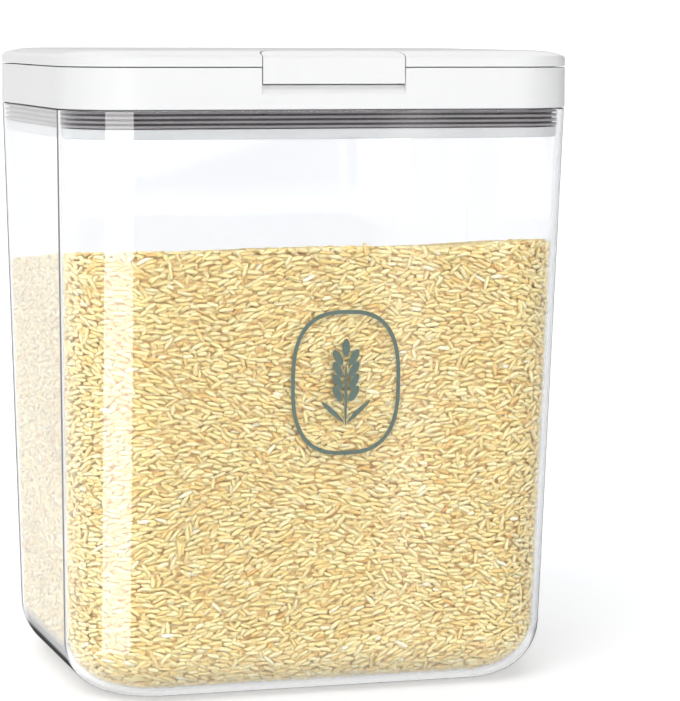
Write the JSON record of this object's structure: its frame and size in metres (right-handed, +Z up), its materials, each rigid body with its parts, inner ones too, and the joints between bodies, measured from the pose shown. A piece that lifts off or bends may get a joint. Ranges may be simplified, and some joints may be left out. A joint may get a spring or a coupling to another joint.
{
  "type": "rice bin",
  "caption": "Clear rounded rice bin with a lift-off white lid collar, ribbed grey gasket plug and a rear-hinged flip cover with a front snap latch.",
  "frame": {"origin": "centre of the flat base, midway between the lid's two sides and between its front and rear faces", "axes": "+Z up, front face and latch toward -Y, +X to the right when seen from the front"},
  "size_m": [0.2, 0.162, 0.245],
  "materials": {
    "clear_body": "clear, polished",
    "white_shell": "fine satin",
    "milky_plug": "milky, satin",
    "grey_silicone": "matt silicone",
    "steel_pin": "drawn wire"
  },
  "bodies": {
    "bin": {"bin_body": "clear_body"},
    "lid": {"lid_collar": "white_shell", "plug_frame": "milky_plug", "plug_gasket": "grey_silicone", "hinge_pin_left": "steel_pin", "hinge_pin_right": "steel_pin"},
    "cover": {"flip_cover": "white_shell", "cover_liner": "white_shell", "cover_seal": "grey_silicone", "latch_pin": "steel_pin"},
    "latch": {"latch": "white_shell"}
  },
  "joints": [
    {"name": "lid_lift", "type": "slide", "parent": "bin", "child": "lid", "axis": [0, 0, 1], "range_m": [0, 0.06]},
    {"name": "cover_hinge", "type": "hinge", "parent": "lid", "child": "cover", "pos_m": [0, 0.0812, 0.2388], "axis": [-1, 0, 0], "range_deg": [0, 110]},
    {"name": "latch_pivot", "type": "hinge", "parent": "cover", "child": "latch", "pos_m": [0, -0.0718, 0.2428], "axis": [-1, 0, 0], "range_deg": [0, 20], "stiffness_Nm_per_rad": 0.03, "springref_deg": -8.59}
  ]
}
